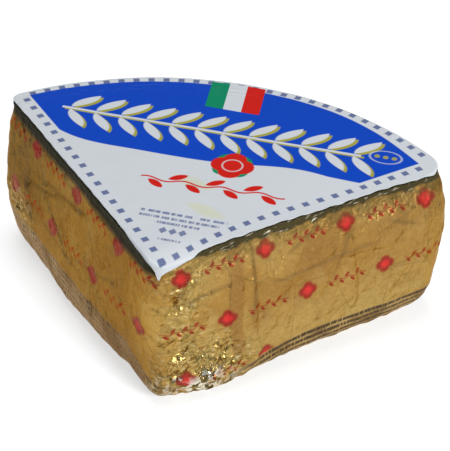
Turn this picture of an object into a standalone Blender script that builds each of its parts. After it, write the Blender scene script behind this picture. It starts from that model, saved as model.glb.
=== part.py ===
"""A quarter wedge of a half-height wheel of blue cheese, shut in foil, with a label over its top.

Metres, +Z up. The tip points along -Y and the rounded rind side along +Y. The origin lies under the
middle of the wedge's box, on the surface that it stands on.
"""

import math

import bmesh
import bpy
from mathutils import Matrix, Vector, noise

# Driving dimensions of the piece: a quarter of a wheel 300 mm across, at half the wheel's height.
RADIUS = 0.150
HALF_ANGLE = math.radians(45)
HEIGHT = 0.080

# The upright edges, each as (radius at the top, radius at the foot).
TIP_EDGE = (0.0064, 0.0086)
LEFT_EDGE = (0.0062, 0.0134)
RIGHT_EDGE = (0.0120, 0.0110)

# The level edges.
SHOULDER = 0.0034
FOOT_WIDTH = 0.0090
FOOT_HEIGHT = 0.0095

# The soft walls swell between top and foot.
WALL_SWELL = 0.0040

# Uneven places, each as (bearing from the middle line, distance from the tip, share of the height,
# reach along the wall, reach as a share of the height, push outwards).
LEFT_WALL = -HALF_ANGLE
RIGHT_WALL = HALF_ANGLE
SWELLINGS = {
    "left corner": (LEFT_WALL, RADIUS, 0.32, 0.050, 0.30, 0.0030),
    "right corner": (RIGHT_WALL, RADIUS, 0.72, 0.030, 0.22, 0.0026),
    "right foot": (RIGHT_WALL, RADIUS, 0.00, 0.020, 0.14, -0.0030),
    "left foot": (LEFT_WALL, RADIUS / 2, 0.15, 0.045, 0.30, 0.0032),
    "folded ear by the tip": (RIGHT_WALL, RADIUS / 5, 0.00, 0.022, 0.25, 0.0049),
    "hollow of the tip": (0.0, 0.004, 0.40, 0.020, 0.35, -0.0023),
    "tuck beside the tip": (LEFT_WALL, RADIUS / 8, 0.00, 0.020, 0.20, -0.0016),
}

# Crumpled foil: deepest round the tip, shallow along the foot. The foot's reach and the stretch where
# it fades towards the label are shares of the height.
CREASE_SIZE = 0.011
TIP_CRUMPLE = 0.0016
FOOT_CRUMPLE = 0.0007
TIP_REACH = 0.030
FOOT_REACH = 0.30
CRUMPLE_FADE = (0.70, 0.90)

# The label: a sheet that turns down over the edges, furthest over the tip.
LABEL_THICKNESS = 0.0006
GAP = 0.0003
EDGE_TURN = 0.0030
TIP_TURN = 0.0085
TIP_TURN_REACH = 0.0042
CORNER_TURN = 0.0020
CORNER_TURN_REACH = 0.0120

# Steps round one half of the outline, and up the wall.
TIP_STEPS = 6
WALL_STEPS = 26
CORNER_STEPS = 6
BACK_STEPS = 22
SHOULDER_STEPS = 4
HEIGHT_STEPS = 11
FOOT_STEPS = 5
TURN_STEPS = 5

FOIL_TOP = HEIGHT - LABEL_THICKNESS - GAP


def along(bearing):
    """A level unit vector, its bearing counted from +X towards +Y."""
    return Vector((math.cos(bearing), math.sin(bearing)))


def between(low, high, share):
    return low + (high - low) * share


def half_outline(inset, tip_radius, corner_radius):
    """Level points from the tip to the middle of the back, by the right wall, with outward bearings."""
    facing = -HALF_ANGLE
    tip_centre = Vector((0, (inset + tip_radius) / math.sin(HALF_ANGLE)))
    reach = RADIUS - inset - corner_radius
    turned = math.pi / 2 - HALF_ANGLE + math.asin((inset + corner_radius) / reach)
    corner_centre = reach * along(turned)

    column = []
    for step in range(TIP_STEPS):
        bearing = between(-math.pi / 2, facing, step / TIP_STEPS)
        column.append((tip_centre + tip_radius * along(bearing), bearing))
    wall_start = tip_centre + tip_radius * along(facing)
    wall_end = corner_centre + corner_radius * along(facing)
    for step in range(WALL_STEPS):
        column.append((wall_start.lerp(wall_end, step / WALL_STEPS), facing))
    for step in range(CORNER_STEPS):
        bearing = between(facing, turned, step / CORNER_STEPS)
        column.append((corner_centre + corner_radius * along(bearing), bearing))
    for step in range(BACK_STEPS + 1):
        bearing = between(turned, math.pi / 2, step / BACK_STEPS)
        column.append(((RADIUS - inset) * along(bearing), bearing))
    return column


def outline(inset, share):
    """The closed outline at this share of the height, anticlockwise from the tip."""
    tip, left, right = (between(foot, top, share) for top, foot in (TIP_EDGE, LEFT_EDGE, RIGHT_EDGE))
    right_half = half_outline(inset, tip, right)
    left_half = half_outline(inset, tip, left)[1:-1]
    mirrored = [(Vector((-point.x, point.y)), math.pi - bearing) for point, bearing in left_half]
    return right_half + mirrored[::-1]


def nearness(point, bearing, distance, reach):
    """1 at a place given from the tip, falling off like a bell with this reach."""
    place = distance * Vector((math.sin(bearing), math.cos(bearing)))
    return math.exp(-((point - place).length_squared) / reach**2)


def push_out(point, height):
    """How far the foil stands out from the straight wall at a point of the outline."""
    share = height / HEIGHT
    push = WALL_SWELL * math.sin(math.pi * share)
    for bearing, distance, at, reach, height_reach, amount in SWELLINGS.values():
        amount *= nearness(point, bearing, distance, reach)
        push += amount * math.exp(-(((share - at) / height_reach) ** 2))
    depth = TIP_CRUMPLE * nearness(point, 0, 0, TIP_REACH)
    depth += FOOT_CRUMPLE * math.exp(-((share / FOOT_REACH) ** 2))
    fade_low, fade_high = CRUMPLE_FADE
    depth *= min(1, max(0, (fade_high - share) / (fade_high - fade_low)))
    return push + depth * noise.noise(Vector((point.x, point.y, height)) / CREASE_SIZE)


def ring(inset, height, lift=0.0, slope=0.0):
    """Points of the skin at one height, lifted along a normal that rises by this slope angle."""
    points = []
    for point, bearing in outline(inset, height / HEIGHT):
        out = push_out(point, height) + lift * math.cos(slope)
        level = point + out * along(bearing)
        points.append((level.x, level.y, height + lift * math.sin(slope)))
    return points


def shoulder_ring(slope, lift):
    """A ring on the rounded top edge, from slope 90 degrees on the flat top to 0 on the wall."""
    inset = SHOULDER * (1 - math.cos(slope))
    return ring(inset, FOIL_TOP - SHOULDER * (1 - math.sin(slope)), lift, slope)


def foil_rings():
    """The wrapped body's rings, from the edge of the flat base up to the edge of the flat top."""
    rings = []
    for step in range(FOOT_STEPS):
        turn = math.pi / 2 * step / FOOT_STEPS
        rings.append(ring(FOOT_WIDTH * (1 - math.sin(turn)), FOOT_HEIGHT * (1 - math.cos(turn))))
    wall_top = FOIL_TOP - SHOULDER
    for step in range(HEIGHT_STEPS):
        rings.append(ring(0, between(FOOT_HEIGHT, wall_top, step / HEIGHT_STEPS)))
    for step in range(SHOULDER_STEPS + 1):
        rings.append(shoulder_ring(math.pi / 2 * step / SHOULDER_STEPS, 0))
    return rings


def turned_down(point):
    """How far over the edge the label reaches at a point of the outline."""
    turn = EDGE_TURN + (TIP_TURN - EDGE_TURN) * nearness(point, 0, TIP_EDGE[0] / 2, TIP_TURN_REACH)
    for bearing in (LEFT_WALL, RIGHT_WALL):
        turn += CORNER_TURN * nearness(point, bearing, RADIUS, CORNER_TURN_REACH)
    return turn


def label_rings(lift):
    """One face of the label: from its rim, round the shoulder, to the edge of the flat top."""
    arc = SHOULDER * math.pi / 2
    rings = []
    for step in range(TURN_STEPS + 1):
        points = []
        for column, (point, _) in enumerate(outline(0, 1)):
            path = turned_down(point) * (1 - step / TURN_STEPS)
            if path < arc:
                points.append(shoulder_ring(math.pi / 2 * (1 - path / arc), lift)[column])
            else:
                points.append(ring(0, FOIL_TOP - SHOULDER - (path - arc), lift)[column])
        rings.append(points)
    return rings


def bridge(mesh, rings):
    """Walls between rings of the same count, each ring anticlockwise and the next one above it."""
    loops = [[mesh.verts.new(point) for point in points] for points in rings]
    for lower, upper in zip(loops, loops[1:]):
        for here in range(len(lower)):
            after = (here + 1) % len(lower)
            mesh.faces.new((lower[here], lower[after], upper[after], upper[here]))
    return loops


def add_piece(name, mesh, material):
    data = bpy.data.meshes.new(name)
    mesh.to_mesh(data)
    mesh.free()
    data.materials.append(material)
    data.shade_smooth()
    piece = bpy.data.objects.new(name, data)
    bpy.context.scene.collection.objects.link(piece)
    return piece


def make_material(name, colour, roughness, metallic):
    material = bpy.data.materials.new(name)
    material.use_nodes = True
    shader = material.node_tree.nodes["Principled BSDF"]
    shader.inputs["Base Color"].default_value = (*colour, 1)
    shader.inputs["Roughness"].default_value = roughness
    shader.inputs["Metallic"].default_value = metallic
    material.diffuse_color = (*colour, 1)
    return material


def make_wrapped_wedge():
    """The cheese shut in its foil: one solid with a flat base to stand on."""
    mesh = bmesh.new()
    loops = bridge(mesh, foil_rings())
    mesh.faces.new(loops[0][::-1])
    mesh.faces.new(loops[-1])
    return add_piece("wrapped_wedge", mesh, make_material("gold_foil", (0.45, 0.28, 0.08), 0.35, 0.9))


def make_label():
    """The printed sheet, its underside clear of the foil by the gap."""
    mesh = bmesh.new()
    underside = label_rings(GAP)
    upper_side = label_rings(GAP + LABEL_THICKNESS)
    loops = bridge(mesh, underside[::-1] + upper_side)
    mesh.faces.new(loops[0][::-1])
    mesh.faces.new(loops[-1])
    return add_piece("top_label", mesh, make_material("printed_label", (0.58, 0.61, 0.64), 0.4, 0.0))


def clear_scene():
    for item in list(bpy.data.objects):
        bpy.data.objects.remove(item, do_unlink=True)


def centre_on_origin(pieces):
    """Shifts the meshes level, so that the box round them all is centred on the origin."""
    corners = [vertex.co for piece in pieces for vertex in piece.data.vertices]
    middle = [(min(c[axis] for c in corners) + max(c[axis] for c in corners)) / 2 for axis in (0, 1)]
    for piece in pieces:
        piece.data.transform(Matrix.Translation((-middle[0], -middle[1], 0)))


clear_scene()
centre_on_origin([make_wrapped_wedge(), make_label()])
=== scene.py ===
# %% [markdown]
# # A foil-wrapped wedge of blue cheese
# The wedge is a right-angled sector of a wheel, at half its height. The cheese is shut in one sheet of
# gold foil, and a printed sheet lies over the top and is turned down over its edges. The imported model
# fixes the size and the place of both pieces, so this lesson loads it first.

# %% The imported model
import math

import bpy
import numpy as np
from mathutils import Matrix, Vector


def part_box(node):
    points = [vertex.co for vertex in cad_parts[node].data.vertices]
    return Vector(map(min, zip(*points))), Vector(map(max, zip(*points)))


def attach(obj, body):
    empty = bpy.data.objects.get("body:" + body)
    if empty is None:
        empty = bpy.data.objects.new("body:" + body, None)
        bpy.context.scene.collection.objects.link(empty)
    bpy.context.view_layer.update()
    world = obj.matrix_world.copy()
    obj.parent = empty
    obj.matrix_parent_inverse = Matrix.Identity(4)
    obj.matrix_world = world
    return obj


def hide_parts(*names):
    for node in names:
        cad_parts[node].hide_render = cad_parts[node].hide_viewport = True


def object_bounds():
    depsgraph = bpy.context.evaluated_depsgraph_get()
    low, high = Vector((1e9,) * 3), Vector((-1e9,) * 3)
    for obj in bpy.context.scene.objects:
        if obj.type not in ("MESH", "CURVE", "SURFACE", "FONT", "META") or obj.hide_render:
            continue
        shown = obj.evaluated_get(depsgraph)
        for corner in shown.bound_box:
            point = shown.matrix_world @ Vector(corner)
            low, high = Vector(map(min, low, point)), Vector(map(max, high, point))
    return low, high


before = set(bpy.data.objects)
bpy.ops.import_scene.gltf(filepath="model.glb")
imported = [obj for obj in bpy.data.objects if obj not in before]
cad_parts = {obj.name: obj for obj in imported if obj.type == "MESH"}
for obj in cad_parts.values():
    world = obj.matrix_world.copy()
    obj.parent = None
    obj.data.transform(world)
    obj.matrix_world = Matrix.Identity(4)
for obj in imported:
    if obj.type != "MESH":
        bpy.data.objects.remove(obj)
CAD_LOW, CAD_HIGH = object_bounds()
print("nodes:", sorted(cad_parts), "box in mm:", [round(side * 1000, 1) for side in CAD_HIGH - CAD_LOW])

# %% [markdown]
# ## Node trees written as sums
# The prints and the crumpling are formulas over a surface. A small class wraps a socket and turns + - * /
# into Math nodes, and a second one holds the tree and adds any other node, so that the script shows the
# formula and not the wiring.

# %% Sockets that can be added and multiplied
def math_node(operation, flipped=False):
    """A function or method that turns its terms into a Math node."""
    def joined(first, *others):
        return first.maths(operation, *others, flipped=flipped)
    return joined


class Wire:
    """An output socket that can stand in a sum, as a number can."""

    def __init__(self, bench, socket):
        self.bench, self.socket = bench, socket

    def maths(self, operation, *others, flipped=False):
        terms = (*others, self) if flipped else (self, *others)
        return self.bench.node("ShaderNodeMath", {"operation": operation}, terms)

    __add__, __radd__ = math_node("ADD"), math_node("ADD", True)
    __sub__, __rsub__ = math_node("SUBTRACT"), math_node("SUBTRACT", True)
    __mul__, __rmul__ = math_node("MULTIPLY"), math_node("MULTIPLY", True)
    __truediv__, __rtruediv__ = math_node("DIVIDE"), math_node("DIVIDE", True)
    __pow__, __lt__, __gt__ = math_node("POWER"), math_node("LESS_THAN"), math_node("GREATER_THAN")
    __abs__ = math_node("ABSOLUTE")

    def __neg__(self):
        return self * -1


# %% A node tree with short ways to add to it
class Bench:
    """A node tree, with short ways to add nodes and join them."""

    def __init__(self, tree):
        self.tree = tree

    def node(self, kind, settings=None, inputs=(), output=0):
        """Adds any node. Its inputs are given in order, or by name or number."""
        made = self.tree.nodes.new(kind)
        for name, value in (settings or {}).items():
            setattr(made, name, value)
        pairs = inputs.items() if isinstance(inputs, dict) else enumerate(inputs)
        for key, value in pairs:
            if isinstance(value, Wire):
                self.tree.links.new(value.socket, made.inputs[key])
            elif value is not None:
                made.inputs[key].default_value = value
        return Wire(self, made.outputs[output]) if len(made.outputs) else None

    def vector(self, x=0, y=0, z=0):
        return self.node("ShaderNodeCombineXYZ", inputs=(x, y, z))

    def parts(self, vector):
        return [self.node("ShaderNodeSeparateXYZ", inputs=(vector,), output=axis) for axis in range(3)]

    def vector_maths(self, operation, *terms, output=0):
        return self.node("ShaderNodeVectorMath", {"operation": operation}, terms, output)

    def mix(self, share, first, second):
        """A colour between two others."""
        return self.node("ShaderNodeMix", {"data_type": "RGBA"}, {0: share, 6: first, 7: second}, 2)

    def noise(self, vector, scale, detail=2.0, seed=0.0, roughness=0.5):
        """Smooth noise from about 0 to 1. The fourth coordinate picks another pattern."""
        inputs = {"Vector": vector, "W": seed, "Scale": scale, "Detail": detail, "Roughness": roughness}
        return self.node("ShaderNodeTexNoise", {"noise_dimensions": "4D"}, inputs)

    def plates(self, vector, scale):
        """Flat plates that lean this way and that: their height, tone, and distance to a seam."""
        inputs, kind = {"Vector": vector, "Scale": scale}, "ShaderNodeTexVoronoi"
        chance = self.node(kind, {}, inputs, 1)
        lean = self.vector_maths("SUBTRACT", chance, (0.5, 0.5, 0.5))
        inside = self.vector_maths("SUBTRACT", vector, self.node(kind, {}, inputs, 2))
        height = self.vector_maths("DOT_PRODUCT", lean, inside, output=1)
        seam = self.node(kind, {"feature": "DISTANCE_TO_EDGE"}, inputs, 0) / scale
        return height, self.parts(chance)[0], seam


# %% Functions of a wire
smaller, larger = math_node("MINIMUM"), math_node("MAXIMUM")
sine, root, fraction, whole = (math_node(name) for name in ("SINE", "SQRT", "FRACT", "FLOOR"))


def clamped(value):
    return smaller(larger(value, 0.0), 1.0)


def ramp(value, start, rise):
    """0 until the start, then rising to 1, or the other way round where the rise is below zero."""
    return clamped((value - start) * rise)


def hill(value, reach):
    """1 where the value is zero, falling smoothly to nothing a little past the reach."""
    return (-(value / reach) ** 2).maths("EXPONENT")


def soft_inside(distance, blur):
    """1 where a signed distance is below zero, with a soft edge of this width."""
    return clamped(0.5 - distance / blur)


# %% [markdown]
# ## The outline of the wedge
# Seen from above the piece is a sector with a rounded tip and two rounded corners, each with one radius
# at the top and another at the foot. One function draws half of the outline as arcs and a straight run,
# and gives each point the bearing in which the wall faces there.

# %% Driving sizes, in metres
RADIUS = 0.150
HALF_ANGLE = math.radians(45)
HEIGHT = CAD_HIGH.z
FOIL_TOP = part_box("wrapped_wedge")[1].z
LABEL_THICKNESS = 0.0003
# The upright edges, as (radius at the top, radius at the foot).
TIP_EDGE = (0.0064, 0.0086)
LEFT_EDGE = (0.0062, 0.0134)
RIGHT_EDGE = (0.0120, 0.0110)
SHOULDER = 0.0014
FOOT_WIDTH = 0.0090
FOOT_HEIGHT = 0.0095
WALL_SWELL = 0.0040
TIP_STEPS, WALL_STEPS, CORNER_STEPS, BACK_STEPS = 18, 190, 16, 92
DENSER_NEAR_TIP = 0.45
HALF_STEPS = TIP_STEPS + WALL_STEPS + CORNER_STEPS + BACK_STEPS
print("columns round the wedge:", 2 * HALF_STEPS)


# %% The outline
def arc(centre, radius, start, end, steps):
    """Rows of x, y and bearing round an arc, without its last point."""
    bearing = start + (end - start) * np.arange(steps) / steps
    return np.stack([centre[0] + radius * np.cos(bearing), centre[1] + radius * np.sin(bearing), bearing], 1)


def half_outline(inset, tip_radius, corner_radius):
    """Rows of x, y and bearing from the tip, along the right wall, to the middle of the back."""
    facing = -HALF_ANGLE
    reach = RADIUS - inset - corner_radius
    turned = math.pi / 2 - HALF_ANGLE + math.asin((inset + corner_radius) / reach)
    tip_centre = np.array([0, (inset + tip_radius) / math.sin(HALF_ANGLE)])
    corner_centre = reach * np.array([math.cos(turned), math.sin(turned)])
    out = np.array([math.cos(facing), math.sin(facing)])
    share = np.arange(WALL_STEPS)[:, None] / WALL_STEPS
    share = share * (1 - DENSER_NEAR_TIP) + DENSER_NEAR_TIP * share ** 2
    wall = (tip_centre + tip_radius * out) * (1 - share) + (corner_centre + corner_radius * out) * share
    back = arc((0, 0), RADIUS - inset, turned, math.pi / 2, BACK_STEPS)
    last = [[0, RADIUS - inset, math.pi / 2]]
    tip = arc(tip_centre, tip_radius, -math.pi / 2, facing, TIP_STEPS)
    corner = arc(corner_centre, corner_radius, facing, turned, CORNER_STEPS)
    return np.concatenate([tip, np.column_stack([wall, np.full(WALL_STEPS, facing)]), corner, back, last])


def outline(inset, share):
    """The closed outline, from the middle of the back round the left side, then the tip."""
    tip, left, right = (foot + (top - foot) * share for top, foot in (TIP_EDGE, LEFT_EDGE, RIGHT_EDGE))
    left_half = half_outline(inset, tip, left)[::-1] * (-1, 1, 1)
    left_half[:, 2] = math.pi - left_half[:, 2]
    return np.concatenate([left_half[:-1], half_outline(inset, tip, right)[:-1]])


middle_line = outline(0, 0.5)[:, :2]
steps_round = np.linalg.norm(np.roll(middle_line, -1, 0) - middle_line, axis=1)
RUN = np.concatenate([[0], np.cumsum(steps_round)])
RUN = RUN - RUN[HALF_STEPS]
print("once round the wall: %.0f mm" % (1000 * (RUN[-1] - RUN[0])))

# %% [markdown]
# ## The wall's known forms
# Soft cheese sags, so the walls swell between top and foot, and a few places stand out or fall in. The
# foil also has folds that can be pointed at: a tuck all along the edge of the label, an upright pleat
# near the tip, and some long creases. Each is a short formula of the run along the wall and the height,
# so plain array maths is the clearest tool.

# %% Swellings, folds and creases
LEFT_WALL, RIGHT_WALL = -HALF_ANGLE, HALF_ANGLE
# Bearing from the middle line, distance from the tip, share of the height, reach, reach up, push.
SWELLINGS = [
    (LEFT_WALL, RADIUS, 0.32, 0.050, 0.30, 0.0030),
    (RIGHT_WALL, RADIUS, 0.72, 0.030, 0.22, 0.0026),
    (RIGHT_WALL, RADIUS, 0.00, 0.020, 0.14, -0.0030),
    (LEFT_WALL, RADIUS / 2, 0.15, 0.045, 0.30, 0.0032),
    (RIGHT_WALL, RADIUS / 5, 0.00, 0.022, 0.25, 0.0049),
    (0.0, 0.004, 0.40, 0.020, 0.35, -0.0023),
    (LEFT_WALL, RADIUS / 8, 0.00, 0.020, 0.20, -0.0016),
]
MM = 0.001
# Creases on the walls: run and height of both ends, and the depth, all in millimetres.
CREASES = [
    (48, 26, 47, 78, 0.35), (102, 22, 97, 68, 0.45), (86, 53, 118, 51, 0.30), (60, 44, 80, 56, 0.22),
    (108, 30, 126, 62, 0.22), (70, 18, 112, 30, 0.20), (56, 62, 70, 74, 0.25), (118, 20, 132, 44, 0.25),
    (-30, 20, -62, 52, 0.25), (-70, 30, -104, 58, 0.28), (-52, 14, -56, 66, 0.25),
    (-56, 66, -112, 56, 0.22), (-84, 60, -126, 46, 0.22),
    (-112, 16, -120, 60, 0.30), (-20, 40, -44, 62, 0.20), (170, 20, 176, 66, 0.30),
    (-176, 18, -168, 62, 0.30), (210, 30, 232, 60, 0.30), (-214, 24, -236, 56, 0.30),
]
PLEAT_RUN, PLEAT_WIDTH, PLEAT_RISE = 37.5 * MM, 6.5 * MM, 0.55 * MM
TUCK_BELOW_TOP, TUCK_ABOVE, TUCK_UNDER, TUCK_DEPTH = 2.4 * MM, 1.9 * MM, 4.6 * MM, 1.0 * MM
print(len(SWELLINGS), "swellings and", len(CREASES), "creases")


# %% The same as formulas
def bell(value, reach):
    return np.exp(-((value / reach) ** 2))


def swelling(x, y, height):
    """How far the wall stands out from a straight one."""
    share = height / HEIGHT
    push = WALL_SWELL * np.sin(np.pi * share)
    for bearing, distance, at, reach, reach_up, amount in SWELLINGS:
        away = np.hypot(x - distance * math.sin(bearing), y - distance * math.cos(bearing))
        push = push + amount * bell(away, reach) * bell(share - at, reach_up)
    return push


def crease(run, height, ends):
    """A fold line between two places on the wall: a shallow groove with a raised lip on one side."""
    run_a, height_a, run_b, height_b, depth = (value * MM for value in ends)
    along = np.array([run_b - run_a, height_b - height_a])
    length = np.linalg.norm(along)
    along = along / length
    travelled = (run - run_a) * along[0] + (height - height_a) * along[1]
    aside = -(run - run_a) * along[1] + (height - height_a) * along[0]
    fade = np.clip(travelled / (6 * MM), 0, 1) * np.clip((length - travelled) / (6 * MM), 0, 1)
    step = np.tanh(aside / (0.7 * MM)) * bell(aside, 7 * MM)
    return depth * fade * (step - 0.6 * bell(aside, 1.1 * MM))


def folds(run, height):
    """All of those folds, as a push outwards."""
    below_top = FOIL_TOP - height
    tuck_reach = np.where(below_top < TUCK_BELOW_TOP, TUCK_ABOVE, TUCK_UNDER)
    tuck = -TUCK_DEPTH * bell(below_top - TUCK_BELOW_TOP, tuck_reach)
    sway = 0.8 * MM * np.sin(height / (9 * MM))
    edge = 0.5 * PLEAT_WIDTH - np.abs(run - PLEAT_RUN - sway)
    pleat = PLEAT_RISE * np.clip(0.5 + edge / (0.9 * MM), 0, 1) * np.clip((height - 0.016) / 0.01, 0, 1)
    total = tuck + pleat
    for ends in CREASES:
        total = total + crease(run, height, ends)
    return total


# %% [markdown]
# ## How far the label reaches
# The label's rim is folded a long way down at the tip, lies just over the edge along most of both walls,
# and falls short in places. The foil has to know this too, because it lies flat wherever the label presses
# on it, so the table comes before both sheets.

# %% The label's reach past the flat top, along the run from the tip, both in millimetres
REACH = [
    (-270, 1.8), (-165, 1.8), (-150, 1.1), (-138, 0.6), (-95, 0.6), (-60, 0.5), (-30, 0.7), (-20, 1.4),
    (-12, 1.8), (-4, 2.0), (-2, 2.6), (-1, 3.3), (0, 4.4), (0.8, 6.2), (1.4, 8.2), (2.2, 8.0),
    (3.0, 5.6), (5, 4.4), (8, 3.8), (10, 3.3), (13, 2.7), (16, 1.9), (20, 1.0), (27, -0.2),
    (60, -0.4), (75, 0.3), (118, 0.4), (134, 0.7), (150, 1.6), (160, 1.8), (270, 1.8),
]


def label_reach():
    """How far past the flat top the label reaches, for each column."""
    run = RUN[:-1]
    runs, reaches = np.array(REACH).T * MM
    ragged = 0.35 * MM * np.sin(run / (5.3 * MM)) * np.sin(run / (3.1 * MM))
    ragged = ragged + 0.2 * MM * np.sin(run / (1.3 * MM))
    away_from_tip = np.interp(run, [-20 * MM, 0, 20 * MM], [0.35, 0.0, 1.0])
    return np.interp(run, runs, reaches) + ragged * away_from_tip


def over_the_edge(reach):
    """The inset, the height and the slope of the wall a distance along the sheet past the flat top."""
    quarter = SHOULDER * math.pi / 2
    slope = np.clip(math.pi / 2 * (1 - reach / quarter), 0, math.pi / 2)
    inset = SHOULDER * (1 - np.cos(slope)) + np.maximum(-reach, 0)
    height = HEIGHT - SHOULDER * (1 - np.sin(slope)) - np.maximum(reach - quarter, 0)
    return inset, height, slope


RIM_HEIGHT = over_the_edge(label_reach())[1]
print("the label's rim lies from %.1f to %.1f mm high" % (RIM_HEIGHT.min() * 1000, RIM_HEIGHT.max() * 1000))

# %% [markdown]
# ## The soft edge beside the tip
# On the right of the tip the top has been pressed down by handling, and both sheets slope with it. The
# same small droop is taken off the height of both, so they stay together.

# %% The droop beside the tip
DROOP, DROOP_AT, DROOP_LENGTH, DROOP_WIDTH = 2.2 * MM, 11 * MM, 20 * MM, 12 * MM


def droop(points):
    """Lowers points near the top of the right edge, by the tip."""
    x, y, height = np.moveaxis(points, -1, 0)
    from_right, from_left = (y - x) * math.sqrt(0.5), (y + x) * math.sqrt(0.5)
    share = np.clip(1 - from_right / DROOP_WIDTH, 0, 1) ** 2 * bell(from_left - DROOP_AT, DROOP_LENGTH)
    near_top = np.clip(height / HEIGHT * 2.5 - 1.5, 0, 1)
    return np.stack([x, y, height - DROOP * share * near_top], -1)


print("the edge beside the tip droops by %.1f mm" % (DROOP / MM))


# %% [markdown]
# ## A cage for the foil
# The foil is one skin: rings from the middle of the base, round the foot, up the wall and over the
# shoulder. They share their columns, so they join into a regular net. Each point keeps its run round the
# wall and its climb up the sheet, which are the foil's UV map, and how loosely the sheet lies there,
# which later says how much it crumples.

# %% Rings of the foil
PRESSED_IN = 0.45 * MM
BASE_INSETS = [52, 40, 30, 22, 16, 12]
TOP_INSETS = [8, 16, 30, 48]


def wall_ring(inset, height, with_folds=True):
    """One ring of points at a height of the wall."""
    x, y, bearing = outline(inset, height / HEIGHT).T
    out = swelling(x, y, height)
    if with_folds:
        covered = np.clip((height - RIM_HEIGHT) / (0.7 * MM) + 1, 0, 1)
        out = out + folds(RUN[:-1], height) * (1 - covered) - PRESSED_IN * covered
    return np.stack([x + out * np.cos(bearing), y + out * np.sin(bearing), np.full(len(x), height)], 1)


def foil_rings():
    """Rings from the base to the top, and the climb of each along the sheet."""
    rings, climbs = [], []
    foot_path = math.pi / 2 * (FOOT_WIDTH + FOOT_HEIGHT) / 2
    base_climb = FOOT_HEIGHT - foot_path
    for inset in np.array(BASE_INSETS) * MM:
        rings.append(wall_ring(inset, 0.0, with_folds=False))
        climbs.append(base_climb - inset + FOOT_WIDTH)
    for turn in np.linspace(0, math.pi / 2, FOOT_ROWS, endpoint=False):
        inset, height = FOOT_WIDTH * (1 - math.sin(turn)), FOOT_HEIGHT * (1 - math.cos(turn))
        rings.append(wall_ring(inset, height, with_folds=False))
        climbs.append(base_climb + foot_path * turn / (math.pi / 2))
    wall_top = FOIL_TOP - SHOULDER
    for height in np.arange(FOOT_HEIGHT, wall_top, ROW_SPACING):
        rings.append(wall_ring(0, height))
        climbs.append(height)
    for turn in np.linspace(0, math.pi / 2, SHOULDER_ROWS):
        inset = SHOULDER * (1 - math.cos(turn))
        rings.append(wall_ring(inset, wall_top + SHOULDER * math.sin(turn)))
        climbs.append(wall_top + SHOULDER * turn)
    for inset in np.array(TOP_INSETS) * MM:
        rings.append(wall_ring(inset, FOIL_TOP, with_folds=False))
        climbs.append(climbs[-1] + inset / 4)
    return np.array(rings), np.array(climbs)


# %% A closed net from rings
def add_attribute(mesh, name, values):
    mesh.attributes.new(name, "FLOAT", "POINT").data.foreach_set("value", values)


def put(name, data):
    """An object of this data, in the scene."""
    made = bpy.data.objects.new(name, data)
    bpy.context.scene.collection.objects.link(made)
    return made


def net(name, rings, sheet, looseness):
    """A closed mesh from rings that share their columns. Sheet is each point's place on the flat sheet,
    with the first column again at the end."""
    rows, columns = rings.shape[:2]
    points = np.concatenate([rings.reshape(-1, 3), [rings[0].mean(0), rings[-1].mean(0)]])
    here = np.arange(columns)
    after = (here + 1) % columns
    faces, uv = [], []
    for row in range(rows - 1):
        low, high = row * columns, (row + 1) * columns
        faces += np.stack([low + here, low + after, high + after, high + here], 1).tolist()
        corners = (sheet[row, here], sheet[row, here + 1], sheet[row + 1, here + 1], sheet[row + 1, here])
        uv.append(np.stack(corners, 1).reshape(-1, 2))
    last, pole = (rows - 1) * columns, rows * columns
    for first, second, top, row in ((after, here, pole, 0), (last + here, last + after, pole + 1, -1)):
        faces += np.stack([first, second, np.full(columns, top)], 1).tolist()
        middle = np.tile(sheet[row].mean(0), (columns, 1))
        around = [sheet[row, here + 1], sheet[row, here]]
        if row != 0:
            around.reverse()
        uv.append(np.stack([*around, middle], 1).reshape(-1, 2))
    mesh = bpy.data.meshes.new(name)
    mesh.from_pydata(points.tolist(), [], faces)
    mesh.uv_layers.new(name="sheet").data.foreach_set("uv", np.concatenate(uv).ravel())
    add_attribute(mesh, "run", np.concatenate([np.tile(RUN[:-1], rows), [0, 0]]))
    for attribute, values in looseness.items():
        poles = [values[0].mean(), values[-1].mean()]
        add_attribute(mesh, attribute, np.concatenate([values.ravel(), poles]))
    mesh.shade_smooth()
    print("%s: %d rings of %d points" % (name, rows, columns))
    return put(name, mesh)


# %% How loosely the foil lies
def foil_looseness(rings, climbs):
    """How much each point joins in the crumples, the pleats and the dents."""
    run, climb = np.meshgrid(RUN[:-1] / MM, climbs / MM)
    height, top = rings[:, :, 2] / MM, FOIL_TOP / MM
    flat = (height < 0.6) | (climb > top + 3)
    tip = bell(run - 12, 13) * (0.42 + 0.58 * bell(climb - 4, 20))
    ear = 0.95 * bell(run - 25, 20) * bell(climb - 10, 23)
    left_ear = 0.80 * bell(run + 130, 15) * bell(climb - 32, 10)
    foot = 0.40 * bell(climb - 1, 7)
    corner = 0.30 * bell(np.abs(run) - 147, 9)
    edge = 0.17 * bell(climb - (top - 4), 4.5)
    crumple_share = np.maximum.reduce([tip, ear, left_ear, foot, corner, edge, np.full_like(run, 0.13)])
    pleat_share = bell(climb - (top - 3.5), 6.0) * np.where(run > 0, 1.0, 0.20)
    bare = np.clip((RIM_HEIGHT / MM - 0.6 - height) / 1.5, 0, 1)
    looseness = {"crumples": crumple_share * bare, "pleats": pleat_share * bare, "dents": bare}
    return {name: np.where(flat, 0.0, values) for name, values in looseness.items()}


FOOT_ROWS, SHOULDER_ROWS, ROW_SPACING = 20, 7, 0.75 * MM
foil_points, foil_climbs = foil_rings()
foil_sheet = np.stack(np.meshgrid(RUN, foil_climbs), 2)
foil = net("gold_foil_wrap", droop(foil_points), foil_sheet, foil_looseness(foil_points, foil_climbs))

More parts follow.
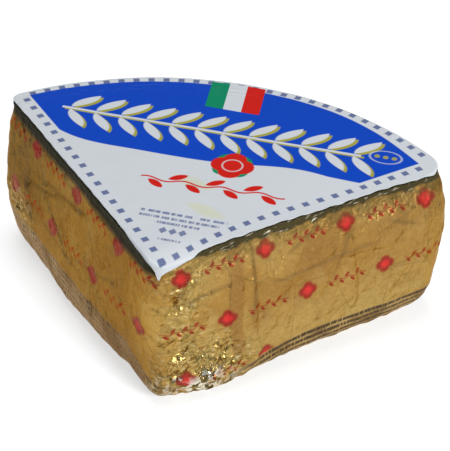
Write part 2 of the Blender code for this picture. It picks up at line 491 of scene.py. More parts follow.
# %% [markdown]
# ## Crumpling with Geometry Nodes
# Crumpled foil is made of small flat facets that meet in sharp, nearly straight creases. A few triangle
# waves in different directions add up to just such facets, and a little noise bends the creases. Pleats
# are the same wave along the run. One tree serves both sheets, with other sizes and depths.

# %% Facets
FACET_DIRECTIONS = [(0.83, 0.31, 0.47), (-0.52, 0.74, 0.43), (0.21, -0.38, 0.90), (0.64, 0.70, -0.32),
                    (-0.35, 0.12, 0.93), (0.95, -0.28, 0.10)]


def facets(bench, place, size, bend, seed):
    """Flat facets that meet in sharp creases, from about -1 to 1."""
    drift = bench.node("ShaderNodeTexNoise", {"noise_dimensions": "4D"},
                       {"Vector": place, "W": seed, "Scale": 0.35 / size, "Detail": 2.0}, 1)
    drift = bench.vector_maths("SUBTRACT", drift, (0.5, 0.5, 0.5))
    bend = bend * size
    bent = bench.vector_maths("MULTIPLY_ADD", drift, bench.vector(bend, bend, bend), place)
    total = None
    for count, direction in enumerate(FACET_DIRECTIONS):
        along = bench.vector_maths("DOT_PRODUCT", bent, Vector(direction).normalized(), output=1)
        wave = (along / (size * (0.75 + 0.22 * count)) + 0.37 * count).maths("PINGPONG", 1.0) - 0.5
        strength = bench.noise(place, 0.4 / size, 1.0, seed + 3.1 * count)
        term = wave * ramp(strength, 0.40, 6.0) * (0.55 + 0.09 * count)
        total = term if total is None else total + term
    return total


# %% The tree that crumples a sheet
TREE_SIZES = ["Crumple Size", "Crumple Depth", "Pleat Spacing", "Pleat Depth", "Dent Size", "Dent Depth",
              "Seed"]


def sheet_tree():
    tree = bpy.data.node_groups.new("crumpled sheet", "GeometryNodeTree")
    sizes = [(name, "INPUT", "Float") for name in TREE_SIZES]
    sockets = [("Geometry", "INPUT", "Geometry"), *sizes, ("Finish", "INPUT", "Material")]
    for name, way, kind in [*sockets, ("Geometry", "OUTPUT", "Geometry")]:
        tree.interface.new_socket(name, in_out=way, socket_type="NodeSocket" + kind)
    bench = Bench(tree)
    start = tree.nodes.new("NodeGroupInput")
    given = {socket.name: Wire(bench, socket) for socket in start.outputs if socket.name}
    kept = {name: bench.node("GeometryNodeInputNamedAttribute", {"data_type": "FLOAT"}, {"Name": name})
            for name in ("crumples", "pleats", "dents", "run")}
    place = bench.node("GeometryNodeInputPosition")
    seed = given["Seed"]
    crumples = facets(bench, place, given["Crumple Size"], 2.2, seed)
    dents = facets(bench, place, given["Dent Size"], 1.5, seed + 40)
    sway = bench.noise(place, 0.35 / given["Pleat Spacing"], 2.0, seed + 60)
    leaning = kept["run"] + bench.parts(place)[2] * 0.9
    pleats = (leaning / given["Pleat Spacing"] + sway * 9.0).maths("PINGPONG", 1.0) - 0.6
    push = crumples * kept["crumples"] * given["Crumple Depth"]
    push = push + pleats * kept["pleats"] * given["Pleat Depth"] + dents * kept["dents"] * given["Dent Depth"]
    outwards = bench.node("GeometryNodeInputNormal")
    offset = bench.node("ShaderNodeVectorMath", {"operation": "SCALE"}, {"Vector": outwards, "Scale": push})
    moved = bench.node("GeometryNodeSetPosition", {}, {"Geometry": given["Geometry"], "Offset": offset})
    real = bench.node("GeometryNodeRealizeInstances", {}, (moved,))
    done = bench.node("GeometryNodeSetMaterial", {}, {"Geometry": real, "Material": given["Finish"]})
    end = tree.nodes.new("NodeGroupOutput")
    tree.links.new(done.socket, end.inputs["Geometry"])
    print("crumpled sheet:", len(tree.nodes), "nodes")
    return tree


SHEET_TREE = sheet_tree()


# %% How a piece goes through the tree
def crumple(piece, tree, finish, sizes):
    """Runs the tree on a piece and keeps the result as a plain mesh."""
    modifier = piece.modifiers.new("crumple", "NODES")
    modifier.node_group = tree
    identifiers = {item.name: item.identifier for item in tree.interface.items_tree if item.in_out == "INPUT"}
    for name, value in zip(TREE_SIZES, sizes, strict=True):
        modifier[identifiers[name]] = float(value)
    modifier[identifiers["Finish"]] = finish
    result = bpy.data.meshes.new_from_object(piece.evaluated_get(bpy.context.evaluated_depsgraph_get()))
    piece.modifiers.clear()
    cage, piece.data = piece.data, result
    bpy.data.meshes.remove(cage)
    # Nothing goes below the table.
    for vertex in piece.data.vertices:
        vertex.co.z = max(vertex.co.z, 0.0)
    piece.data.name = piece.name
    piece.data.shade_smooth()
    print(piece.name, len(piece.data.polygons), "faces")


# %% [markdown]
# ## The label
# The label is drawn from the middle outwards: rings that grow to the outline of the top, then go round
# the shoulder and a little way down the wall, most of all at the tip. The underside repeats the rings a
# sheet's thickness lower.

# %% Rings of the label
FLAT_INSET = 4.5 * MM
MIDDLE = np.array([0, RADIUS * math.sqrt(2) / (1 + math.sqrt(2))])


def label_ring(reach, depth):
    """One point a column, this far past the flat top and this deep in the sheet. The last two numbers
    are its place on the sheet before the edge was folded."""
    inset, height, slope = over_the_edge(reach)
    x, y, bearing = outline(0, 1).T
    out = swelling(x, y, height) - inset - depth * np.cos(slope)
    unfolded = swelling(x, y, HEIGHT) - SHOULDER + reach
    return np.stack([x + out * np.cos(bearing), y + out * np.sin(bearing), height - depth * np.sin(slope),
                     x + unfolded * np.cos(bearing), y + unfolded * np.sin(bearing)], 1)


def label_face(depth, shares):
    """Rings of one face, from the middle out to the rim."""
    rings = []
    for share in shares:
        flat = MIDDLE + (outline(FLAT_INSET, 1)[:, :2] - MIDDLE) * share
        rings.append(np.column_stack([flat, np.full(len(flat), HEIGHT - depth), flat]))
    start, end = SHOULDER - FLAT_INSET + 0.4 * MM, label_reach()
    return rings + [label_ring(start + (end - start) * share, depth) for share in np.linspace(0, 1, 12)]


lower = label_face(LABEL_THICKNESS, (0.1, 0.4, 0.7, 0.9, 1.0))
upper = label_face(0.0, np.linspace(0.02, 1, 44))
label_rings = np.array(lower + upper[::-1])
label_points, label_sheet = label_rings[:, :, :3], label_rings[:, :, 3:]
label_sheet = np.concatenate([label_sheet, label_sheet[:, :1]], 1)
near_rim = 0.35 + 0.65 * np.clip((FOIL_TOP - label_points[:, :, 2]) / (2 * MM), 0, 1)
nowhere = np.zeros_like(near_rim)
label = net("top_label_sheet", droop(label_points), label_sheet,
            {"crumples": near_rim, "pleats": nowhere, "dents": np.ones_like(near_rim)})


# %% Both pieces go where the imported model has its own
cage = np.array([vertex.co for vertex in foil.data.vertices])
middle = (cage.min(0) + cage.max(0)) / 2
box_low, box_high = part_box("wrapped_wedge")
TIP = Vector(((box_low.x + box_high.x) / 2 - middle[0], (box_low.y + box_high.y) / 2 - middle[1], 0))
for piece in (foil, label):
    piece.data.transform(Matrix.Translation(TIP))
print("tip of the sector at", [round(value * 1000, 2) for value in TIP])

# %% [markdown]
# ## Colour laid on colour
# Both sheets are a ground colour with inks, painted shades, painted glints and worn places laid on it one
# after another, each through a mask that is a formula of the place on the sheet. A small class keeps the
# colour so far.

# %% Patterns shared by the two prints
def new_finish(name):
    finish = bpy.data.materials.new(name)
    finish.use_nodes = True
    finish.node_tree.nodes.clear()
    return finish, Bench(finish.node_tree)


def four_leaf(x, y, size):
    """Signed distance to four round leaves, this wide from side to side."""
    leaf = size * 0.27
    away = size / 2 - leaf
    return smaller(root((abs(x) - away) ** 2 + y ** 2), root(x ** 2 + (abs(y) - away) ** 2)) - leaf


def repeated(value, pitch):
    """The distance from the nearest multiple of the pitch."""
    return (fraction(value / pitch + 0.5) - 0.5) * pitch


def almond(across, along, half_length, half_width):
    """Signed distance to a leaf shape, pointed at both ends."""
    curve = (half_length ** 2 + half_width ** 2) / (2 * half_width)
    return root((abs(across) + (curve - half_width)) ** 2 + along ** 2) - curve


def leafy_stem(x, y):
    """A mask of a wavy stem with small leaves on alternate sides."""
    pitch, lean = 8.6, math.radians(32)
    side = 1 - 2 * (fraction(whole(x / pitch + 0.5) / 2) > 0.25)
    stem = soft_inside(abs(y - 1.1 * sine(x * (math.pi / pitch))) - 0.5, 0.4)
    u, v = repeated(x, pitch) - 0.6, side * y - 3.4
    leaf = almond(v * math.cos(lean) - u * math.sin(lean), u * math.cos(lean) + v * math.sin(lean), 4.8, 1.9)
    whole_leaves = abs(whole(x / pitch + 0.5)) < 3.5
    return larger(stem * (abs(x) < 33.0), soft_inside(leaf, 0.4) * whole_leaves)


def fold_shade(x, y, ends, reach):
    """A mask of a soft line between two places."""
    x0, y0, x1, y1 = ends
    length = math.hypot(x1 - x0, y1 - y0)
    across, up = (x1 - x0) / length, (y1 - y0) / length
    travelled = (x - x0) * across + (y - y0) * up
    aside = (y - y0) * across - (x - x0) * up
    return hill(aside, reach) * clamped(travelled / 9) * clamped((length - travelled) / 9)


# %% What every finish needs
def on_the_sheet(bench):
    """Both coordinates of the place on the flat sheet, in millimetres."""
    along, up, _ = bench.parts(bench.node("ShaderNodeUVMap", {"uv_map": "sheet"}))
    return along * 1000, up * 1000


class Coat:
    """A ground colour, and whatever is laid over it."""

    def __init__(self, bench, ground):
        self.bench, self.colour = bench, ground

    def lay(self, share, colour):
        self.colour = self.bench.mix(share, self.colour, colour)


def finish_surface(bench, colour, roughness, metallic=0.0, bump=None, tint=(1, 1, 1, 1), gloss=0.5, glow=0.0):
    shader = bench.node("ShaderNodeBsdfPrincipled", {}, {
        "Base Color": colour, "Roughness": roughness, "Metallic": metallic, "Normal": bump,
        "Specular Tint": tint, "Specular IOR Level": gloss,
        "Emission Color": (1, 1, 1, 1), "Emission Strength": glow})
    bench.node("ShaderNodeOutputMaterial", {}, {"Surface": shader})


# %% [markdown]
# ## Gold foil
# The foil is a thin metal with a yellow lacquer, and what makes it look like foil is its crumpled shape
# and a satin roughness that blurs the room. Its tone wanders, in soft patches, in straight-edged panels
# where it lies flat and small plates where it is crushed. Painted shade and painted glints are laid where
# it is crushed, and painted light and shade change its tone from one side to the other.

# %% The foil's colours
GOLD = (0.410, 0.236, 0.054, 1)
PALE_GOLD = (0.500, 0.365, 0.125, 1)
BROWN_GOLD = (0.265, 0.137, 0.042, 1)
SHADED_GOLD = (0.185, 0.096, 0.032, 1)
DULL_BROWN = (0.115, 0.070, 0.032, 1)
OLIVE_SHADE = (0.105, 0.088, 0.030, 1)
PAINTED_SHADOW_DARK = (0.022, 0.025, 0.014, 1)
SILVER_GLINT = (0.780, 0.760, 0.640, 1)
CREAM_GLINT = (0.720, 0.620, 0.340, 1)
RED_INK = (0.250, 0.010, 0.012, 1)
BRIGHT_RED_INK = (0.580, 0.014, 0.026, 1)
BROWN_INK = (0.034, 0.020, 0.012, 1)
WORN_FOIL = (0.400, 0.330, 0.250, 1)
LACQUER_TINT = (0.95, 0.66, 0.38, 1)
# Soft lines of painted shade along folds: run and climb of both ends in millimetres, and how dark.
FOLD_SHADES = [
    ((-54, 67, -116, 57), 0.65), ((-82, 60, -130, 47), 0.65), ((-22, 52, -74, 36), 0.45),
    ((-60, 33, -118, 40), 0.45), ((52, 52, 112, 56), 0.35), ((86, 40, 98, 72), 0.35),
    ((46, 30, 47, 74), 0.45), ((112, 66, 134, 58), 0.45), ((60, 62, 78, 72), 0.45),
    ((8, 56, 44, 60), 0.35),
]
# How many plates, panels and patches go to a metre.
FINE_PLATES, COARSE_PLATES, PANELS, PATCHES, MOTTLES = 430.0, 165.0, 46.0, 30.0, 105.0
print("panels about %.0f mm across" % (1000 / PANELS))


# %% A place on the foil
class FoilPlace:
    """Where a point lies on the foil, in millimetres, and what the sheet is like there."""

    def __init__(self, bench):
        self.run, self.climb = on_the_sheet(bench)
        self.below_top = FOIL_TOP * 1000 - self.climb
        self.point = bench.node("ShaderNodeTexCoord", output=3)
        self.loose = bench.node("ShaderNodeAttribute", {"attribute_name": "crumples"}, output=2)
        self.crushed = clamped(self.loose * 2.1 - 0.22)
        # The painted shades of both sides fade out round the back.
        self.right_side = clamped(self.run / 10) * ramp(self.run, 210, -1 / 50)
        self.left_side = clamped(self.run / -20) * ramp(self.run, -230, 1 / 60)
        # Small plates for where the sheet is crushed, large straight-edged panels for where it is flat.
        wandering = {"Vector": self.point, "Scale": 110.0, "Detail": 2.0}
        drift = bench.node("ShaderNodeTexNoise", {}, wandering, 1)
        bent = bench.vector_maths("MULTIPLY_ADD", drift, (0.008, 0.008, 0.008), self.point)
        self.coarse, self.coarse_tone, self.coarse_seam = bench.plates(bent, COARSE_PLATES)
        self.fine, self.fine_tone, _ = bench.plates(bent, FINE_PLATES)
        upright = bench.vector_maths("MULTIPLY", self.point, (1.0, 1.0, 0.62))
        self.panel, self.panel_tone, self.panel_seam = bench.plates(upright, PANELS)
        self.patches = bench.noise(self.point, PATCHES, 3.0, 1.0)
        self.mottling = bench.noise(upright, MOTTLES, 3.0, 11.0)


# %% The tones of the metal
def lay_metal(coat, at):
    """Soft patches, mottling, and panels that lean this way and that."""
    for wave, start, rise, strength, tone in (
        (at.patches, 0.47, 4, 0.70, PALE_GOLD), (at.patches, 0.52, -4, 0.70, BROWN_GOLD),
        (at.mottling, 0.55, 6, 0.56, SHADED_GOLD), (at.mottling, 0.44, -6, 0.48, PALE_GOLD),
        (at.panel_tone, 0.50, 3, 0.20, BROWN_GOLD), (at.panel_tone, 0.35, -3, 0.20, PALE_GOLD),
    ):
        coat.lay(ramp(wave, start, rise) * strength, tone)


def lay_side_shades(coat, at):
    """Painted light and shade on the sides. The right side is painted palest low down, a painted reflection
    of the table, and painted browner high up and far back, a painted shade, with a painted dark edge at its
    far corner. The left side is painted duller, a painted shade, most of all towards its far upper corner,
    and soft lines of painted shade run along folds."""
    middle_height, right_corner = 48, 147
    # A painted reflection low down and painted shade high up and far back on the right side.
    coat.lay(ramp(at.run, 25, 1 / 95) * at.right_side * 0.38, BROWN_GOLD)
    coat.lay(ramp(at.climb, middle_height, -1 / 26) * at.right_side * 0.50, PALE_GOLD)
    coat.lay(ramp(at.climb, middle_height, 1 / 20) * at.right_side * 0.20, SHADED_GOLD)
    # A painted dark edge at the right side's far corner, then painted shade over the left side and its far
    # upper corner.
    coat.lay(hill(at.run - right_corner, 5.0) * 0.5, DULL_BROWN)
    coat.lay(at.left_side * 0.58, SHADED_GOLD)
    coat.lay(hill(at.run + 135, 42.0) * ramp(at.climb, 16, 1 / 30) * 0.72, DULL_BROWN)
    # Soft lines of painted shade along folds.
    for ends, strength in FOLD_SHADES:
        coat.lay(fold_shade(at.run, at.climb, ends, 1.2) * strength, DULL_BROWN)


def lay_crushing(coat, at):
    """Painted dark specks and painted glints where the sheet is crushed, painted shade in the seams between
    plates, and painted shade on a pleat.
    """
    # Painted dark specks of shade and painted pale glints on the crushed plates.
    mottle = ramp(at.coarse_tone, 0.64, 4) * 0.5 + ramp(at.fine_tone, 0.66, 4) * 0.5
    coat.lay(mottle * at.crushed * 0.62, OLIVE_SHADE)
    glints = ramp(at.fine_tone, 0.22, -8) * ramp(at.coarse_tone, 0.3, 4)
    coat.lay(glints * at.crushed * 0.6, PALE_GOLD)
    # Painted dark crinkles of shade and painted cream glints where the sheet is crushed.
    slanting = coat.bench.vector(at.run * 0.30 + at.climb * 0.25, at.climb * 0.42 - at.run * 0.1, 0.0)
    crinkle_shade_glint = coat.bench.noise(slanting, 1.0, 3.0, 12.0)
    coat.lay(ramp(crinkle_shade_glint, 0.54, 9) * at.crushed * 0.9, OLIVE_SHADE)
    coat.lay(ramp(crinkle_shade_glint, 0.43, -9) * at.crushed * 0.9, CREAM_GLINT)
    # Painted shade in the seams between plates and between panels.
    plate_seam_shade = clamped(1 - at.coarse_seam / 0.00032) * at.crushed * 0.55
    panel_seam_shade = clamped(1 - at.panel_seam / 0.0004) * 0.24
    coat.lay(larger(plate_seam_shade, panel_seam_shade), OLIVE_SHADE)
    # A painted shade darkens the upright pleat beside the tip.
    from_pleat = abs(at.run - PLEAT_RUN / MM - 0.8 * sine(at.climb / 9))
    coat.lay(soft_inside(from_pleat - 3.0, 1.0) * ramp(at.climb, 16, 1 / 6) * 0.65, BROWN_GOLD)


# %% [markdown]
# ## The print on the foil
# Small red four-leaved marks stand in rows that step sideways, with a small leafy stem between them, and
# fine broken stripes run round the foot, in a band that is wider on the left side. Handling has worn
# some of the print away. Painted shade and painted glints are laid by the tip and at the far left.

# %% The red marks
MARK_PITCH, MARK_ROWS, MARK_SIZE, LOWEST_MARK, HIGHEST_PRINT = 41, 29, 9.6, 12.5, 78
STRIPE_PITCH, STRIPE_HALF_WIDTH = 3.3, 1.0
print("a mark every", MARK_PITCH, "mm, in rows", MARK_ROWS, "mm apart")


def foot_band(at):
    """How much this is the left side, and how high the striped band is."""
    left_share = clamped(at.run / -20) * ramp(at.run, -230, 1 / 40)
    return left_share, 16.5 + 8.5 * left_share - 8.5 * hill(at.run - 26, 30.0)


def lay_marks(coat, at, band_top):
    """Returns a mask of the marks."""
    row = whole((at.climb - LOWEST_MARK) / MARK_ROWS + 0.5)
    shifted = at.run - 12 + row * (MARK_PITCH / 2)
    x, y = repeated(shifted, MARK_PITCH), repeated(at.climb - LOWEST_MARK, MARK_ROWS)
    on_wall = (at.climb > band_top + 0.5) * (at.climb < HIGHEST_PRINT)
    between = repeated(shifted + MARK_PITCH / 2, MARK_PITCH)
    coat.lay(leafy_stem(between * 3.1, y * 2.3) * on_wall * 0.85, RED_INK)
    # A bright heart, brown veins between the leaves, and a duller red on the left side, a painted shade.
    heart = soft_inside(root(x ** 2 + y ** 2) - 2.2, 1.8)
    ink = Coat(coat.bench, RED_INK)
    ink.lay(heart, BRIGHT_RED_INK)
    ink.lay(soft_inside(abs(abs(x) - abs(y)) - 0.15, 0.5) * (1 - heart) * 0.5, BROWN_INK)
    ink.lay(at.left_side * 0.85, RED_INK)
    marks = soft_inside(four_leaf(x, y, MARK_SIZE), 1.3) * on_wall
    coat.lay(marks * 0.92, ink.colour)
    return marks


# %% Stripes, and painted shade and glints
def lay_stripes(coat, at, left_share, band_top):
    """Broken stripes on worn foil. Returns a mask of the stripes."""
    above = at.climb - band_top
    in_band = soft_inside(above, 0.6) * (at.climb > 0.2) * clamped(1.2 - at.loose * 1.2)
    ticks = coat.bench.vector(at.run * 1.1, whole(above / STRIPE_PITCH) * 7.0, 0.0)
    inked = clamped((coat.bench.noise(ticks, 1.0, 1.0) - 0.36 - 0.09 * left_share) * 10)
    from_stripe = abs(repeated(above + 1.4, STRIPE_PITCH))
    stripes = in_band * soft_inside(from_stripe - STRIPE_HALF_WIDTH, 0.5) * inked
    coat.lay(in_band * (0.20 + 0.30 * left_share), WORN_FOIL)
    coat.lay(in_band * ramp(at.mottling, 0.47, 8) * 0.6, DULL_BROWN)
    coat.lay(stripes * 0.92, BROWN_INK)
    return stripes


def lay_painted_shade_and_glints(coat, at):
    """Painted shade on the foot left of the tip, a patch of painted pale glints at the far left, and painted
    silver glints with painted dark specks where the sheet is crushed hardest, at the foot of the tip."""
    # Painted shade on the foot left of the tip.
    coat.lay(hill(at.run + 22, 24.0) * ramp(at.climb, 36, -1 / 24) * 0.62, DULL_BROWN)
    # A patch of painted pale glints at the far left.
    glint_patch = hill(at.run + 128, 11.0) * hill(at.climb - 31, 9.0)
    coat.lay(glint_patch * ramp(at.fine_tone, 0.45, 6) * 0.4, CREAM_GLINT)
    # Painted silver glints and painted dark specks where the sheet is crushed hardest.
    worst = hill(at.run - 17, 15.0) * clamped((11 + 9 * at.coarse_tone - at.climb) / 4)
    coat.lay(worst * ramp(at.fine_tone, 0.42, 8) * 0.9, SILVER_GLINT)
    coat.lay(worst * ramp(at.fine_tone, 0.34, -8) * 0.85, PAINTED_SHADOW_DARK)


# %% [markdown]
# ## The tuck under the label
# Under the label's rim the foil is pinched nearly closed, and a painted shadow darkens it there. On the
# left the painted shadow is an even, deep line. On the right and round the back it is ragged, with painted
# shade below it, and it opens here and there into painted pale highlights. It is laid last, over
# everything else.

# %% The dark tuck
def lay_tuck(coat, at):
    """Lays a painted shadow in the tuck, painted shade below it on the right and painted pale highlights
    where it opens. Returns masks of the painted tuck shadow, and of the rough foil near the rim.
    """
    below = at.below_top
    on_right = clamped(at.run * 0.5) + ramp(at.run, -160, -1 / 40)
    at_tip = hill(at.run - 6, 16.0)
    left_depth = 5.4 + 2.6 * hill(at.run + 22, 30.0) + 1.3 * hill(at.run + 108, 40.0)
    right_depth = 11.0 * coat.bench.noise(at.point, 120.0, 4.0, 3.0, 0.65) - 1.8 - 1.6 * at_tip
    depth = left_depth + (right_depth - left_depth) * on_right
    # The tuck mask is a painted shadow under the label's rim, deeper on the left.
    tuck = clamped((depth - below) / (2.8 - 1.4 * on_right)) * (below > -8)
    folded = coat.bench.vector(at.run * 0.26 + below * 0.5, below * 0.5, 0.0)
    folded = coat.bench.noise(folded, 1.0, 3.0, 6.0)
    # Where the fold opens, a painted pale highlight of silver instead of the painted shadow.
    opened_glint = on_right * ramp(folded, 0.56, 9)
    # Painted shade below the rim on the right, in slanting folds.
    shaded = on_right * ramp(below, 11, -1 / 6) * ramp(folded, 0.36, 5) * (1 - at_tip)
    coat.lay(shaded * 0.55, OLIVE_SHADE)
    coat.lay(tuck * opened_glint * 0.7, SILVER_GLINT)
    # Where the tuck stays closed, a painted shadow, nearly black.
    tuck_shadow = tuck * (1 - opened_glint)
    coat.lay(tuck_shadow * (0.96 - 0.08 * on_right), PAINTED_SHADOW_DARK)
    return tuck_shadow, on_right * ramp(below, 12, -1 / 5)


# %% The whole finish of the foil
def foil_finish():
    finish, bench = new_finish("printed gold foil")
    at, coat = FoilPlace(bench), Coat(bench, GOLD)
    lay_metal(coat, at)
    lay_side_shades(coat, at)
    lay_crushing(coat, at)
    left_share, band_top = foot_band(at)
    marks = lay_marks(coat, at, band_top)
    stripes = lay_stripes(coat, at, left_share, band_top)
    lay_painted_shade_and_glints(coat, at)
    tuck_shadow, near_rim = lay_tuck(coat, at)
    # Ink and the painted shadow under the label hide the metal's shine.
    metallic = 0.9 * (1 - tuck_shadow) * (1 - 0.6 * stripes) * (1 - 0.5 * marks)
    roughness = 0.30 + 0.16 * bench.noise(at.point, 90.0, 2.0, 2.0) - 0.12 * at.crushed
    roughness = roughness + 0.20 * near_rim + 0.35 * tuck_shadow
    height = at.panel * 0.16 + at.coarse * (0.10 + 0.42 * at.crushed) + at.fine * (0.16 + 0.50 * at.crushed)
    height = height - abs(at.mottling - 0.5) * 0.004
    bump = bench.node("ShaderNodeBump", {}, {"Strength": 1.0, "Distance": 1.0, "Height": height})
    finish_surface(bench, coat.colour, roughness, metallic, bump, tint=LACQUER_TINT, gloss=0.12)
    print("printed gold foil:", len(finish.node_tree.nodes), "nodes")
    return finish


# %% [markdown]
# ## The printed label
# The label is coated paper: a white ground with a satin shine, and hardly any relief. Every shape in the
# print is a signed distance, so it stays sharp at any size. It is drawn on the flat sheet, so the print
# bends down with the folded edge instead of stretching there.

# %% The label's colours, and where its print is, in millimetres from the tip
WHITE = (0.495, 0.520, 0.545, 1)
BLUE = (0.000, 0.045, 0.400, 1)
GREY_BLUE = (0.085, 0.11, 0.23, 1)
GREEN = (0.000, 0.190, 0.090, 1)
RED = (0.480, 0.008, 0.003, 1)
OLIVE_GOLD = (0.30, 0.28, 0.04, 1)
PALE_YELLOW = (0.50, 0.50, 0.26, 1)
SHARP = 0.5
BRANCH_HEIGHT = 104.8
FLAG_FOOT, FLAG_LEFT, FLAG_RIGHT = 124.5, -13.7, 12.8
FLOWER_X, FLOWER_Y = 12.0, 80.5
STEM_X, STEM_Y = 8, 61.6
LOZENGES_X, LOZENGES_Y = 0.8, 25.2
OVAL_X, OVAL_Y = 77, 107
# Rows of small strokes: middle across and up, half the length, half the width.
SMALL_ROWS = [(2, 37.4, 20.5, 0.85), (1, 33.9, 18, 0.85), (1.2, 30.4, 10, 0.85), (1, 19, 5, 0.7)]
STAINS = [(-1, 63), (10, 44)]
print("the flag is %.1f mm wide" % (FLAG_RIGHT - FLAG_LEFT))


# %% Rows and sprays
def garland(x, y):
    """A mask of a straight branch with a pair of leaning leaves at each step."""
    pitch, lean = 12.4, math.radians(52)
    up = abs(y - BRANCH_HEIGHT)
    along_branch = x - up / math.tan(lean)
    step = whole(along_branch / pitch + 0.5)
    leaf = almond(repeated(along_branch, pitch) * math.sin(lean), (up - 7.4) / math.sin(lean), 8.2, 2.6)
    stem = soft_inside(up - 0.75, 0.4) * (x > -78.0) * (x < 66.0)
    return larger(soft_inside(leaf, SHARP) * (step > -6.5) * (step < 5.5), stem)


def broken_line(bench, x, y, half_length, half_width):
    """A mask of a level line of short strokes, like a worn hem."""
    along = bench.noise(bench.vector(x * 0.9, 0.0, 0.0), 1.0, 1.0, half_length)
    return soft_inside(abs(y) - half_width, 0.4) * (abs(x) < half_length) * ramp(along, 0.42, 10)


def border_squares(x, y, left, right, away):
    """A mask of small squares along both straight edges and the arc."""
    half_side = 1.5
    wander = 4.8 * hill(left, 24.0) - 1.4 * hill(left - 62, 26.0)
    right_row = larger(abs(repeated(left - 5.0, 7.4)), abs(right - 6.6 + wander))
    left_row = larger(abs(repeated(right - 2.6, 7.75)), abs(left - 5.5 - right / 150))
    turn = x.maths("ARCTAN2", y) * (180 / math.pi)
    off_arc = abs(away - 146.6 - 0.9 * hill(turn - 22, 9.0))
    arc_row = larger(abs(repeated(turn - 7.7, 2.84)) * 2.56, off_arc)
    straight = soft_inside(smaller(right_row - half_side, left_row - half_side), SHARP) * (away < 144.0)
    return larger(straight, soft_inside(arc_row - half_side, SHARP) * (left > 9.0) * (right > 13.0))


# %% The blue field
def lay_field(coat, x, y, left, right, away):
    """The blue field with its uneven lower edge, its garland with a gold shade, and the flag above it."""
    low = 80.3 + 9.5 * hill(x + 86, 18.0) + 5.6 * hill(x - 40, 26.0) + 2.2 * ramp(x, 55, 1 / 15)
    high = 144.8 - 0.008 * x - 3.0 * hill(x - 92, 22.0)
    field = larger(larger(low - y, away - high), larger(9.3 - left, 10.0 - right))
    blue = soft_inside(field, SHARP)
    coat.lay(blue, BLUE)
    coat.lay(garland(x - 1.6, y + 1.0) * blue, OLIVE_GOLD)
    coat.lay(garland(x, y) * blue, WHITE)
    leaning = x + (y - FLAG_FOOT) * 0.115
    on_flag = (leaning > FLAG_LEFT) * (leaning < FLAG_RIGHT) * (y > FLAG_FOOT) * (away < 147.6)
    flag = Coat(coat.bench, GREEN)
    flag.lay(leaning > -4.87, WHITE)
    flag.lay(leaning > 3.97, RED)
    coat.lay(on_flag, flag.colour)


# %% Everything on the white
def lay_ornaments(coat, x, y):
    """Pale stains, a flower over its leaves, a leafy stem, small strokes, lozenges and an oval."""
    for stain_x, stain_y in STAINS:
        across, along = x - stain_x, y - stain_y
        stain = almond((along + across * 0.3) * 0.9, across, 9.5, 3.2)
        coat.lay(soft_inside(stain, 2.5) * 0.45, PALE_YELLOW)
    u, v = x - FLOWER_X, y - FLOWER_Y
    leaves = four_leaf((u + v) * math.sqrt(0.5), (u - v) * math.sqrt(0.5), 22.0)
    coat.lay(soft_inside(leaves + 1.2, SHARP), GREEN)
    coat.lay(soft_inside(four_leaf(u, v, 20.0), SHARP), RED)
    coat.lay(soft_inside(abs(root(u ** 2 + v ** 2) - 4.6) - 0.4, 0.4) * 0.7, WHITE)
    coat.lay(leafy_stem(x - STEM_X, y - STEM_Y - 0.03 * x), RED)
    from_lozenge = abs(repeated(x - LOZENGES_X, 4.4)) + abs(y - LOZENGES_Y) * 0.8
    small = soft_inside(from_lozenge - 1.9, SHARP) * (abs(x - LOZENGES_X) < 6.6)
    for row_x, row_y, half_length, half_width in SMALL_ROWS:
        small = small + broken_line(coat.bench, x - row_x, y - row_y, half_length, half_width)
    coat.lay(clamped(small) * 0.85, GREY_BLUE)
    across, up = x - OVAL_X, y - OVAL_Y
    oval = root((across / 1.5) ** 2 + up ** 2)
    coat.lay(soft_inside(abs(oval - 4.9) - 0.35, 0.4) * 0.6, WHITE)
    beads = soft_inside(root(repeated(across, 4.0) ** 2 + up ** 2) - 1.3, SHARP) * (abs(across) < 5.9)
    coat.lay(beads * 0.9, OLIVE_GOLD)


# %% The whole finish of the label
def label_finish():
    finish, bench = new_finish("printed label")
    x, y = on_the_sheet(bench)
    # Distances in from the left and the right edge, and out from the tip.
    left, right = (x + y) * math.sqrt(0.5), (y - x) * math.sqrt(0.5)
    away = root(x ** 2 + y ** 2)
    coat = Coat(bench, WHITE)
    coat.lay(border_squares(x, y, left, right, away) * 0.95, GREY_BLUE)
    lay_field(coat, x, y, left, right, away)
    lay_ornaments(coat, x, y)
    # Faint wrinkles, most of them near the back, where the sheet was pulled down over the edge.
    near_back = hill(away - 141, 5.0) * ramp(x, 30, -1 / 30)
    stretched = bench.vector(x * 0.05, away * 0.30, 0.0)
    wrinkle = 1 - clamped(abs(bench.noise(stretched, 1.0, 2.0, 4.0) - 0.5) * 12)
    place = bench.node("ShaderNodeTexCoord", output=3)
    height = bench.noise(place, 70.0, 3.0, 8.0) * 0.6 + wrinkle * (0.03 + 0.25 * near_back)
    bump = bench.node("ShaderNodeBump", {}, {"Strength": 0.5, "Distance": 0.001, "Height": height})
    roughness = 0.26 + 0.10 * bench.noise(place, 55.0, 3.0, 9.0)
    finish_surface(bench, coat.colour, roughness, bump=bump, gloss=0.15)
    print("printed label:", len(finish.node_tree.nodes), "nodes")
    return finish


# %% [markdown]
# ## Both sheets, finished
# The same tree crumples the foil hard and gives the label only shallow dents. Then each sheet rides on the
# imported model's body and stands in for its own solid.

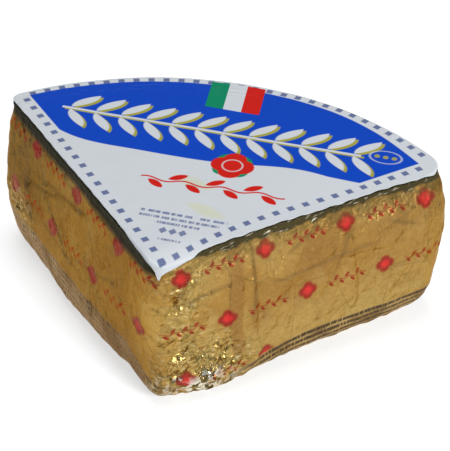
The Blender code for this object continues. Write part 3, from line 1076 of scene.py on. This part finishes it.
# %% Crumple both sheets and give them their finish
FOIL_SIZES = (3.9 * MM, 1.6 * MM, 6.5 * MM, 0.40 * MM, 10 * MM, 0.5 * MM, 2.0)
LABEL_SIZES = (7 * MM, 0.12 * MM, 10 * MM, 0.0, 22 * MM, 0.22 * MM, 7.0)
crumple(foil, SHEET_TREE, foil_finish(), FOIL_SIZES)
crumple(label, SHEET_TREE, label_finish(), LABEL_SIZES)
for piece, node, slot in ((foil, "wrapped_wedge", "foil"), (label, "top_label", "label")):
    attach(piece, "root")
    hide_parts(node)

# %% [markdown]
# ## Camera, floor and light
# The wedge is looked down on from a little to the right of its tip, with a long lens. The white table
# glows as well as catching the lamps, so there is almost no shadow. A small lamp to the right makes the
# glints on the foil, and a wide one overhead and a dim sky fill in the rest.

# %% The camera
CAMERA_AZIMUTH, CAMERA_ELEVATION, CAMERA_ROLL = (math.radians(angle) for angle in (15.0, 36.65, 1.1))
CAMERA_DISTANCE, CAMERA_LENS = 0.7677, 134.9
AIM = Vector((0.0128, -0.0081, 0.0144))
camera = put("camera", bpy.data.cameras.new("camera"))
camera.data.lens = CAMERA_LENS
turned = Matrix.Rotation(CAMERA_AZIMUTH, 3, "Z")
turned = turned @ Matrix.Rotation(math.pi / 2 - CAMERA_ELEVATION, 3, "X")
turned = turned @ Matrix.Rotation(CAMERA_ROLL, 3, "Z")
camera.matrix_world = turned.to_4x4()
camera.location = (CAD_LOW + CAD_HIGH) / 2 + AIM + turned.col[2] * CAMERA_DISTANCE
bpy.context.scene.camera = camera
print("camera at", [round(value, 3) for value in camera.location])

# %% The table
TABLE_COLOUR, TABLE_GLOW, TABLE_HALF_SIDE = (0.50, 0.50, 0.50, 1), 0.62, 3.0


def make_floor():
    mesh = bpy.data.meshes.new("floor")
    corners = [Vector(place) * TABLE_HALF_SIDE for place in ((-1, -1), (1, -1), (1, 1), (-1, 1))]
    mesh.from_pydata([corner.to_3d() for corner in corners], [], [(0, 1, 2, 3)])
    floor = put("floor", mesh)
    finish, bench = new_finish("pale floor")
    finish_surface(bench, TABLE_COLOUR, 0.8, glow=TABLE_GLOW)
    mesh.materials.append(finish)
    print("table", 2 * TABLE_HALF_SIDE, "m wide")


make_floor()

# %% The lamps and the sky
WEDGE_MIDDLE = (0, 0, 0.04)
SKY_COLOUR, SKY_STRENGTH = (0.9, 0.95, 1.0, 1), 0.25


def area_light(name, place, size, power):
    """A round lamp that faces the middle of the wedge."""
    data = bpy.data.lights.new(name, "AREA")
    data.shape = "DISK"
    data.size, data.energy = size, power
    light = put(name, data)
    light.location = place
    light.rotation_euler = (Vector(place) - Vector(WEDGE_MIDDLE)).to_track_quat("Z", "Y").to_euler()
    print(name, "lamp", size, "m across")


area_light("key", (1.1, -0.75, 0.75), 0.5, 17.5)
area_light("top", (-0.15, 0.15, 1.3), 0.9, 11)
world = bpy.data.worlds.new("studio")
world.use_nodes = True
sky = world.node_tree.nodes["Background"]
sky.inputs["Color"].default_value = SKY_COLOUR
sky.inputs["Strength"].default_value = SKY_STRENGTH
bpy.context.scene.world = world
bpy.context.scene.view_settings.view_transform = "Standard"
